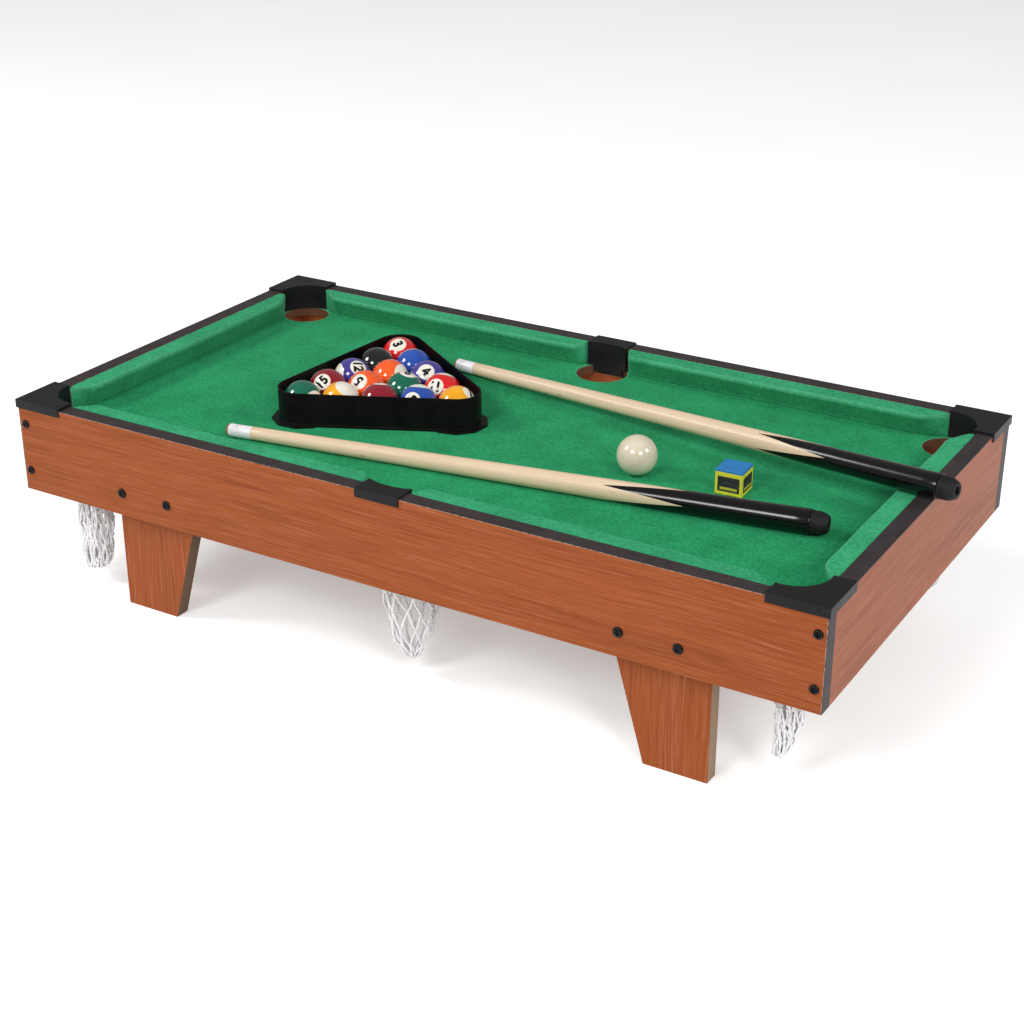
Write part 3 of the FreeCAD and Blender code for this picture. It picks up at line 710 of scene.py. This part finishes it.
CORNER_HOLE = (366.0, 177.5, 24.5)
MIDDLE_HOLE = (0.0, 184.5, 26.0)
# Rings of the cloth's edge in a hole: how far out from the hole, and how high.
LIP = ((1.5, 0.0), (0.6, -0.08), (0.1, -0.35), (0.0, -0.75), (0.05, -1.15))


def make_bed_cloth():
    """The cloth, glued flat and turned down into each of the six holes."""
    bm = bmesh.new()
    fray = bm.verts.layers.float.new("fray")
    flare = LIP[0][0]

    def lip(x, y, radius, start, sweep, steps):
        """Rings going down into one hole; gives back the points of the top ring."""
        closed = sweep == math.tau
        rings = []
        for offset, drop in LIP:
            ring = []
            for k in range(steps if closed else steps + 1):
                angle = start + sweep * k / steps
                ruffle = 0.25 * noise.noise(Vector((angle * 2.6, x * 0.01, y * 0.01)))
                reach = radius + offset + (ruffle if drop < 0 else 0.0)
                vertex = bm.verts.new(mm(x + reach * math.cos(angle), y + reach * math.sin(angle),
                                         BED_TOP / MM + drop))
                vertex[fray] = 0.45 if -1.0 < drop < 0.0 else 0.0
                ring.append(vertex)
            rings.append(ring)
        for upper, lower in zip(rings, rings[1:]):
            for k in range(steps):
                n = (k + 1) % len(upper)
                bm.faces.new((upper[k], upper[n], lower[n], lower[k]))
        return rings[0]

    edges = []

    def join(path):
        edges.extend(bm.edges.get(pair) or bm.edges.new(pair)
                     for pair in zip(path, path[1:] + path[:1]))

    for side_x in (-1, 1):
        for side_y in (-1, 1):
            x, y, radius = CORNER_HOLE
            join(lip(x * side_x, y * side_y, radius, 0.0, math.tau, 72))
    x, y, radius = MIDDLE_HOLE
    edge_angle = math.asin((WALL_Y - y) / (radius + flare))
    outline = []
    for side_y in (-1, 1):
        start = math.pi - edge_angle if side_y > 0 else -edge_angle
        sweep = math.pi + 2 * edge_angle
        arc = lip(x, y * side_y, radius, start, sweep, 60)
        first, last = (bm.verts.new(mm(WALL_X * side_x, WALL_Y * side_y, BED_TOP / MM))
                       for side_x in (-side_y, side_y))
        outline += [first, *arc, last]
    join(outline)
    bmesh.ops.triangle_fill(bm, use_beauty=True, use_dissolve=False, edges=edges)
    bmesh.ops.recalc_face_normals(bm, faces=bm.faces)
    mesh = bpy.data.meshes.new("felt_bed")
    bm.to_mesh(mesh)
    bm.free()
    mesh.shade_smooth()
    mesh.materials.append(BED_FELT)
    cloth = new_object("felt_bed", mesh)
    cloth.location = CENTRE
    stand_for(cloth, "table", "bed_cloth", "bed_cloth")


make_bed_cloth()


# ---- nets

def tube(points, radii, sides=6):
    """A round thread through points, closed at both ends."""
    rings = []
    side = None
    for index, point in enumerate(points):
        ahead = points[min(index + 1, len(points) - 1)] - points[max(index - 1, 0)]
        ahead.normalize()
        if side is None:
            side = ahead.orthogonal().normalized()
        side = (side - ahead * side.dot(ahead)).normalized()
        across = ahead.cross(side)
        rings.append([point + (side * a + across * b) * radii[index]
                      for a, b in (spoke(k, sides) for k in range(sides))])
    return skin_rings(rings)


def knot(point, size, chance):
    """A small lumpy knot, longer than it is wide."""
    axis = Vector((chance.uniform(-0.4, 0.4), chance.uniform(-0.4, 0.4), 1.0)).normalized()
    spine = [point + axis * size * t for t in (-1.1, -0.75, -0.3, 0.3, 0.75, 1.1)]
    radii = [size * r for r in (0.35, 0.85, 1.05, 1.0, 0.8, 0.3)]
    return tube(spine, radii, 7)


def bowed(start, end, bow, steps):
    """A gently bowed run between two points."""
    return [start.lerp(end, t / steps) + bow * math.sin(math.pi * t / steps)
            for t in range(steps + 1)]


def make_net(name, x, y, shape, seed):
    """Knotted string mesh hung from a ring under the bed.

    shape has the ring's radius, the columns and rows of meshes, the thread's radius, the
    bottom, how far the ring dips on its wall side, and a function that gives the centre and
    radius of the net at a share of its depth.
    """
    chance = random.Random(seed)
    columns, rows = shape["columns"], shape["rows"]
    top = PANEL_BOTTOM / MM - 0.6
    depth = top - shape["bottom"]
    thread = shape["thread"]

    def dip(angle, share):
        return shape["dip"] * max(0.0, math.cos(angle - DIP_ANGLE)) ** 0.6 * (1 - share) ** 1.5

    grid = []
    for row in range(rows + 1):
        share = row / rows
        lean_x, lean_y, radius_x, radius_y, twist = shape["form"](share)
        ring = []
        for column in range(columns):
            angle = math.tau * (column + 0.5 * (row % 2)) / columns + twist
            loose = 0.0 if row == 0 else shape["loose"]
            spread = 1.0 + chance.uniform(-loose, loose)
            sag = 0.0 if row == 0 else chance.uniform(-1.0, 1.0) * depth / rows * 0.16
            ring.append(mm(x + lean_x + radius_x * spread * math.cos(angle + chance.uniform(
                -loose, loose)), y + lean_y + radius_y * spread * math.sin(angle),
                top - depth * share + sag - dip(angle, share)))
        grid.append(ring)
    parts = []
    for row in range(rows):
        for column in range(columns):
            other = (column + (1 if row % 2 else -1)) % columns
            for target in (grid[row + 1][column], grid[row + 1][other]):
                bow = mm(chance.uniform(-1, 1), chance.uniform(-1, 1), -0.4) * shape["bow"]
                run = bowed(grid[row][column], target, bow, 5)
                wide = [thread * MM * chance.uniform(0.88, 1.1) for _ in run]
                parts.append(tube(run, wide))
            parts.append(knot(grid[row][column], thread * MM * 1.75, chance))
    centre = sum(grid[-1], Vector()) / columns
    for column in range(columns):
        run = bowed(grid[-1][column], centre + mm(0, 0, -2.0), mm(0, 0, -0.8), 4)
        parts.append(tube(run, [thread * MM] * len(run)))
    parts.append(knot(centre + mm(0, 0, -2.5), thread * MM * 3.2, chance))
    hem = [mm(x + shape["ring"] * a, y + shape["ring"] * b, top - dip(math.atan2(b, a), 0.0))
           for a, b in (spoke(k, 40) for k in range(41))]
    parts.append(tube(hem, [thread * MM * 1.2] * 41))
    new_piece(f"string_{name}", *joined(parts), [COTTON], "table", "net_string", name)


def shaped(twist, *stations):
    """Form of a net through stations of (share, lean x, lean y, radius x, radius y), where
    radius y is left out if it is the same as radius x."""
    def form(share):
        index = 1
        while share > stations[index][0]:
            index += 1
        before, after = stations[index - 1:index + 1]
        part = (share - before[0]) / (after[0] - before[0])
        pairs = zip((*before[1:4], before[-1]), (*after[1:4], after[-1]))
        return [a + (b - a) * part for a, b in pairs] + [twist * share]
    return form


CORNER_X, CORNER_Y, _ = CORNER_HOLE
MIDDLE_NET_Y = 178.0
DIP_ANGLE = math.radians(120)  # the back nets are stapled lower down on their wall side
OPEN_MESH = {"ring": 27.3, "columns": 12, "rows": 8, "thread": 0.92, "loose": 0.12, "bow": 1.2,
             "dip": 0.0}
BUNCHED = {"ring": 27.3, "columns": 20, "rows": 8, "thread": 0.82, "loose": 0.28, "bow": 1.6,
           "dip": 0.0}
SPARSE = {"ring": 26.0, "columns": 10, "rows": 7, "thread": 0.72, "loose": 0.20, "bow": 1.4,
          "dip": 17.0}
RING = (0.0, 0.0, 0.0, 25.6)
make_net("net_front_middle", 0.0, -MIDDLE_NET_Y, {**OPEN_MESH, "bottom": 22.0, "form": shaped(
    0.25, RING, (0.20, 3.0, 0.0, 24.8), (0.45, 6.4, 0.0, 24.0), (0.62, 7.2, 0.0, 23.2),
    (0.76, 7.6, 0.0, 20.6), (0.88, 7.9, 0.0, 16.0), (0.95, 8.0, 0.0, 10.5),
    (1.0, 8.0, 0.0, 5.0))}, 4)
make_net("net_back_middle", 0.0, MIDDLE_NET_Y, {**SPARSE, "bottom": 26.0, "form": shaped(
    -0.2, RING, (0.45, -1.5, 1.0, 22.5), (0.75, -2.5, 1.6, 17.0), (1.0, -3.0, 2.0, 4.0))}, 14)
make_net("net_front_left", -CORNER_X, -CORNER_Y, {
    **BUNCHED, "bottom": 16.0, "columns": 24, "rows": 9, "thread": 0.95, "loose": 0.17,
    "form": shaped(0.3, RING, (0.25, 3.1, 0.0, 18.5), (0.50, 4.2, 0.0, 15.0),
                   (0.68, 3.7, 0.0, 14.6), (0.88, 1.9, 0.0, 13.4), (1.0, 0.2, 0.0, 9.0))}, 21)
make_net("net_front_right", CORNER_X, -CORNER_Y, {
    **BUNCHED, "bottom": 34.0, "thread": 0.92, "loose": 0.18,
    "form": shaped(2.2, RING, (0.20, 3.0, 0.0, 17.5), (0.45, 4.2, 0.0, 12.6),
                   (0.70, 2.0, 0.0, 11.2), (0.88, -1.6, 0.0, 9.4), (1.0, -4.8, 0.0, 5.5))}, 33)
make_net("net_back_left", -CORNER_X, CORNER_Y, {**SPARSE, "bottom": 22.0, "form": shaped(
    -0.6, RING, (0.35, 1.0, 0.7, 16.0), (0.75, 2.2, 1.5, 11.0), (1.0, 3.0, 2.0, 6.0))}, 43)
make_net("net_back_right", CORNER_X, CORNER_Y, {**SPARSE, "bottom": 26.0, "form": shaped(
    0.8, RING, (0.35, -1.7, 0.3, 16.0, 15.0), (0.75, -3.7, 0.7, 12.0, 10.0),
    (1.0, -5.0, 1.0, 6.0, 5.5))}, 57)


# ---- screws

HEAD_HEIGHT = 2.35
HEAD_RIM = 0.06  # share of the height that the dome starts above the board
RECESS_DEPTH = 1.3
ARM_HALF_WIDTH, ARM_SLOPE = 0.66, 0.22  # of the cross, and how far its sides lean in
ARM_LENGTH, END_SLOPE = 2.6, 0.35


def screw_head(centre, side_y, turn, radius):
    """A domed head with a cross recess, facing out of a long board."""
    rings_out, steps = 15, 48
    points, faces = [], []
    for ring in range(rings_out + 1):
        share = ring / rings_out
        dome = math.sqrt(max(0.0, 1.0 - share ** 2.6))
        level = HEAD_HEIGHT * (dome * (1 - HEAD_RIM) + HEAD_RIM) if ring < rings_out else 0.0
        for k in range(steps):
            across, up = (radius * share * part for part in spoke(k, steps))
            narrow, wide = sorted((abs(across), abs(up)))
            sunk = RECESS_DEPTH * max(0.0, min(1.0, (ARM_HALF_WIDTH - narrow) / ARM_SLOPE)) * max(
                0.0, min(1.0, (ARM_LENGTH - wide) / END_SLOPE))
            along = level - min(sunk, level * 0.85)
            points.append(centre + mm(across * math.cos(turn) - up * math.sin(turn), side_y * along,
                                      across * math.sin(turn) + up * math.cos(turn)))
    for ring in range(rings_out):
        for k in range(steps):
            n = (k + 1) % steps
            a, b = ring * steps, (ring + 1) * steps
            faces.append((a + k, b + k, b + n, a + n))
    return points, faces


def make_screws(name, radius, places, seed):
    """Heads at places (x, z) and at the same places on the other end and side."""
    chance = random.Random(seed)
    heads = []
    for x, z in places:
        for side_x in (-1, 1):
            for side_y in (-1, 1):
                centre = mm(x * side_x, FRAME_HALF_Y / MM * side_y, z)
                heads.append(screw_head(centre, side_y, chance.uniform(0, math.pi), radius))
    piece = new_piece(f"heads_{name}", *joined(heads), [SCREW_BLACK], "table", "black_screw", name)
    crease(piece, 50)


make_screws("leg_screws", 4.75, ((285.9, 125.5), (232.8, 125.5)), 3)
make_screws("corner_screws", 4.2, ((400.0, 123.5), (400.0, 170.8)), 8)


# ---- balls

BALL_COLOURS = {
    1: (0.90, 0.40, 0.010), 2: (0.018, 0.075, 0.40), 3: (0.72, 0.010, 0.012),
    4: (0.055, 0.040, 0.28), 5: (0.92, 0.105, 0.012), 6: (0.002, 0.130, 0.072),
    7: (0.26, 0.005, 0.016), 8: (0.006, 0.007, 0.008),
}
# For each ball, where one of its labels faces and where the top of that label points, both as
# right, up and towards the camera.
BALL_FACING = {
    1: ((0.70, 0.60, 0.39), (0.50, 0.87, 0.0)), 2: ((0.10, -0.95, 0.10), (0.0, 0.0, 1.0)),
    3: ((-0.07, 0.567, 0.82), (0.87, 0.50, 0.0)), 4: ((-0.05, 0.36, 0.93), (0.64, 0.77, 0.0)),
    5: ((-0.33, 0.37, 0.87), (-0.64, -0.77, 0.0)), 6: ((0.25, 0.91, 0.33), (0.34, 0.94, 0.0)),
    7: ((0.05, 0.998, 0.05), (0.0, 0.0, -1.0)), 8: ((-0.2, -0.9, 0.2), (0.0, 0.0, 1.0)),
    9: ((0.20, -0.65, 0.72), (0.45, 0.72, 0.53)), 10: ((-0.30, 0.10, 0.95), (0.09, 0.99, 0.0)),
    11: ((-0.35, 0.23, 0.91), (0.087, 0.996, 0.0)), 12: ((0.39, 0.46, 0.80), (0.985, 0.17, 0.0)),
    13: ((0.067, 0.946, -0.243), (0.84, 0.08, 0.54)),
    14: ((-0.63, -0.61, 0.48), (0.74, -0.28, 0.61)), 15: ((-0.24, 0.28, 0.93), (-0.74, 0.67, 0.0)),
}


DIGIT_HEIGHT = 10.6 * MM
DIGIT_BOLD = 0.068  # how far the strokes are widened, as a share of the height
DIGIT_SQUEEZE = 0.92


def round_ball(radius):
    """An even mesh of a ball: a box's grid with each point pushed out to the radius."""
    def place(spot):
        return Vector([math.tan(math.pi / 4 * c) for c in spot]).normalized() * radius
    return box_grid(22, place)


def number_mesh(text, radius):
    """The digits of a ball's number, wrapped on the ball round its own +X, up being its +Z."""
    curve = bpy.data.curves.new("digits", "FONT")
    curve.body = text
    curve.align_x = "CENTER"
    curve.align_y = "CENTER"
    curve.size = DIGIT_HEIGHT * 1.32
    curve.offset = DIGIT_HEIGHT * DIGIT_BOLD
    curve.resolution_u = 4
    holder = new_object("digits", curve)
    bpy.context.view_layer.update()
    flat = bpy.data.meshes.new_from_object(holder)
    bpy.data.objects.remove(holder)
    bm = bmesh.new()
    bm.from_mesh(flat)
    bpy.data.meshes.remove(flat)
    bmesh.ops.triangulate(bm, faces=bm.faces)
    for _ in range(4):
        long_edges = [e for e in bm.edges if e.calc_length() > 0.9 * MM]
        if not long_edges:
            break
        bmesh.ops.subdivide_edges(bm, edges=long_edges, cuts=1)
        bmesh.ops.triangulate(bm, faces=bm.faces)
    middle_x, middle_y = ((min(v.co[axis] for v in bm.verts) + max(
        v.co[axis] for v in bm.verts)) / 2 for axis in (0, 1))
    points = []
    for vertex in bm.verts:
        across = (vertex.co.x - middle_x) * DIGIT_SQUEEZE
        up = vertex.co.y - middle_y
        points.append(Vector((radius, across, up)).normalized() * (radius + 0.04 * MM))
    faces = [tuple(v.index for v in face.verts) for face in bm.faces]
    bm.free()
    return points, faces


def make_ball(name, number, facing):
    low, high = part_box(name)
    centre = (low + high) / 2
    radius = (high.z - low.z) / 2
    parts = [round_ball(radius)]
    ball_faces = len(parts[0][1])
    out, top = (RIGHT * right + UP * up + TOWARDS * towards for right, up, towards in facing)
    out.normalize()
    top = (top - out * top.dot(out)).normalized()
    side = top.cross(out)
    place = Matrix((out, side, top)).transposed().to_4x4()
    place.translation = centre
    if number:
        digits, digit_faces = number_mesh(str(number), radius)
        half_turn = Matrix.Rotation(math.pi, 3, "Z")
        parts += [(digits, digit_faces), ([half_turn @ p for p in digits], digit_faces)]
        striped = number > 8
        colour = BALL_COLOURS[number - 8 if striped else number]
        material = ball_paint(f"resin_{name}", colour, striped)
    else:
        paint = resin("resin_cue_ball")
        cloud = paint.noise(80)
        worn = paint.noise(240, detail=5)
        material = paint.done(
            Base_Color=paint.ramp(cloud, [(0.3, (0.65, 0.585, 0.43)), (0.7, (0.71, 0.64, 0.49))]),
            Roughness=paint.ramp(worn, [(0.35, 0.05), (0.75, 0.14)]))
    ball = new_piece(f"resin_{name}", *joined(parts), [material, INK], name, name, name, place)
    for polygon in ball.data.polygons[ball_faces:]:
        polygon.material_index = 1


for number, facing in BALL_FACING.items():
    make_ball(f"ball_{number:02d}", number, facing)
make_ball("cue_ball", 0, ((0.0, 0.3, 0.9), (0.0, 1.0, 0.0)))


# ---- cues

# Where each cue's tip is, its turn about Z in degrees, and the turn of its black points.
CUES = {
    "front_cue": ((-221.6, -140.0), 8.4, -0.02),
    "rear_cue": ((-131.1, 115.5), -11.1, 0.77),
}
TIP_RADIUS = 6.2
BUTT_RADIUS = 11.1
SHAFT_START = 27.0
SHAFT_END = 555.0
TAPER = math.atan2(BUTT_RADIUS - TIP_RADIUS, SHAFT_END)
REST_GAP = 0.2  # between a cue and the cloth
CUE_PARTS = {
    "tip": ([(0.0, 0.0), (0.1, 1.6), (0.5, 3.4), (1.2, 4.8), (2.1, 5.7), (2.8, 5.95), (4.0, 5.9),
             (4.0, 0.0)], LEATHER, "tip_leather"),
    "ferrule": ([(4.0, 0.0), (4.0, 5.95), (4.35, 6.2), (26.7, 6.2), (27.0, 6.1), (27.0, 0.0)],
                FERRULE, "ferrule_plastic"),
    "bumper": ([(555.0, 0.0), (555.0, 10.1), (555.6, 10.4), (557.2, 10.4), (557.7, 9.9),
                (558.3, 9.9), (558.8, 10.2), (562.5, 10.1), (565.0, 9.5), (568.4, 8.0),
                (569.6, 7.2), (570.0, 6.2), (570.0, 4.1), (569.6, 3.6), (562.0, 3.6),
                (562.0, 0.0)], RUBBER, "cue_rubber"),
}


def lathe(profile):
    """Rings of points turned round X from (along, radius) pairs in millimetres."""
    turns = [spoke(k, 64) for k in range(64)]
    rings = [[mm(along, radius * a, radius * b) for a, b in turns] for along, radius in profile]
    return skin_rings(rings, closed_ends=False)


def shaft_profile():
    """From the ferrule's shoulder to the bumper, a straight taper with softened ends."""
    first, last = SHAFT_START + 0.4, SHAFT_END - 0.6
    profile = [(SHAFT_START, 0.0), (SHAFT_START, TIP_RADIUS - 0.2), (first, TIP_RADIUS)]
    runs = 40
    for k in range(1, runs):
        along = first + (last - first) * k / runs
        share = (along - SHAFT_START) / (SHAFT_END - SHAFT_START)
        profile.append((along, TIP_RADIUS + (BUTT_RADIUS - TIP_RADIUS) * share))
    return [*profile, (last, BUTT_RADIUS), (SHAFT_END - 0.15, BUTT_RADIUS - 0.2),
            (SHAFT_END, BUTT_RADIUS - 0.6), (SHAFT_END, 0.0)]


def make_cue(name, tip, turn, lean, phase):
    rotation = Matrix.Rotation(math.radians(turn), 4, "Z") @ Matrix.Rotation(-lean, 4, "Y")
    lift = TIP_RADIUS * (2 - math.cos(lean)) + REST_GAP
    place = Matrix.Translation(CENTRE + mm(*tip, BED_TOP / MM + lift)) @ rotation
    parts = {**CUE_PARTS, "shaft": (shaft_profile(), maple(f"maple_{name}", phase), "cue_maple")}
    for part, (profile, material, slot_name) in parts.items():
        piece = new_piece(f"turned_{name}_{part}", *lathe(profile), [material], name, slot_name,
                          f"{name}_{part}", place)
        crease(piece, 30)


NOSE_X = WALL_X - CUSHION_WIDTH
for cue, (tip, turn, phase) in CUES.items():
    reach = (NOSE_X - tip[0]) / math.cos(math.radians(turn))
    lean = TAPER + (math.atan2(FRAME_TOP / MM - BED_TOP / MM, reach) if cue == "rear_cue" else 0)
    make_cue(cue, tip, turn, lean, phase)


# ---- chalk

def make_chalk():
    """A wrapped block with softened edges and a worn hollow in its top."""
    edge, crowding = 0.7, 0.72
    hollow_radius, hollow_depth = 8.2, 1.1
    half = [size / MM for size in CHALK_HALF]

    def place(spot):
        """Crowd the points towards the edges, round these and wear the top down."""
        block = [h * math.copysign(abs(c) ** crowding, c) for h, c in zip(half, spot)]
        inner = Vector([max(edge - h, min(h - edge, c)) for h, c in zip(half, block)])
        away = Vector(block) - inner
        if away.length > 1e-6:
            away = away.normalized() * edge
        point = inner + away
        if spot[2] == 1.0:
            worn = max(0.0, 1.0 - math.hypot(*block[:2]) / hollow_radius)
            point.z -= hollow_depth * math.sqrt(worn) * min(1.0, worn * 3)
        point.z += half[2]
        return point * MM

    low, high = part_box("chalk_cube")
    place_of_block = Matrix.Translation(((low.x + high.x) / 2, (low.y + high.y) / 2, low.z)
                                        ) @ Matrix.Rotation(math.radians(3.0), 4, "Z")
    new_piece("block_chalk_cube", *box_grid(24, place), [chalk_paint()], "chalk_cube", "chalk",
              "chalk_cube", place_of_block)


make_chalk()


# ---- floor, light and camera

def make_floor():
    paint = Paint("floor_white", Roughness=0.8, Specular_IOR_Level=0.1,
                  Emission_Color=(1.0, 1.0, 1.0), Emission_Strength=0.38)
    faint = paint.noise(3, detail=2)
    material = paint.done(Base_Color=paint.ramp(faint, [(0.3, (0.90, 0.90, 0.90)),
                                                        (0.7, (0.93, 0.93, 0.93))]))
    mesh = bpy.data.meshes.new("floor")
    mesh.from_pydata([(x * FLOOR_REACH, y * FLOOR_REACH, 0)
                      for x, y in ((-1, -1), (1, -1), (1, 1), (-1, 1))], [], [(0, 1, 2, 3)])
    mesh.materials.append(material)
    floor = new_object("floor", mesh)


LAMP_SIZE = 1.2
LAMP_DISTANCE = 4.0
SKY_STRENGTH = 0.31
FLOOR_REACH = 12.0
# For each lamp, its direction from the table and its power in watts.
LAMPS = {
    "lamp_left": ((-0.70, -0.40, 0.60), 66.0),
    "lamp_front": ((-0.06, -0.80, 0.60), 52.0),
    "lamp_front_right": ((0.66, -0.53, 0.53), 44.0),
    "lamp_right": ((0.84, 0.10, 0.53), 42.0),
}


def make_light(name, direction, power):
    """A soft round lamp standing well off in a direction from the table, facing it."""
    lamp = bpy.data.lights.new(name, "AREA")
    lamp.shape = "DISK"
    lamp.size = LAMP_SIZE
    lamp.energy = power
    holder = new_object(name, lamp)
    away = Vector(direction).normalized()
    holder.location = CENTRE + Vector((0, 0, BED_TOP)) + away * LAMP_DISTANCE
    holder.rotation_mode = "QUATERNION"
    holder.rotation_quaternion = (-away).to_track_quat("-Z", "Y")


def make_studio():
    for name, (direction, power) in LAMPS.items():
        make_light(name, direction, power)
    world = bpy.data.worlds.new("studio")
    scene.world = world
    world.use_nodes = True
    back = world.node_tree.nodes["Background"]
    back.inputs["Color"].default_value = (1.0, 1.0, 1.0, 1.0)
    back.inputs["Strength"].default_value = SKY_STRENGTH
    scene.view_settings.view_transform = "Standard"


def make_camera():
    lens = bpy.data.cameras.new("camera")
    lens.sensor_width = 36.0
    lens.lens = FOCAL_LENGTH
    camera = new_object("camera", lens)
    camera.location = CENTRE + CAMERA_PLACE
    camera.rotation_mode = "QUATERNION"
    camera.rotation_quaternion = (-TOWARDS).to_track_quat("-Z", "Y")
    scene.camera = camera


make_floor()
make_studio()
make_camera()
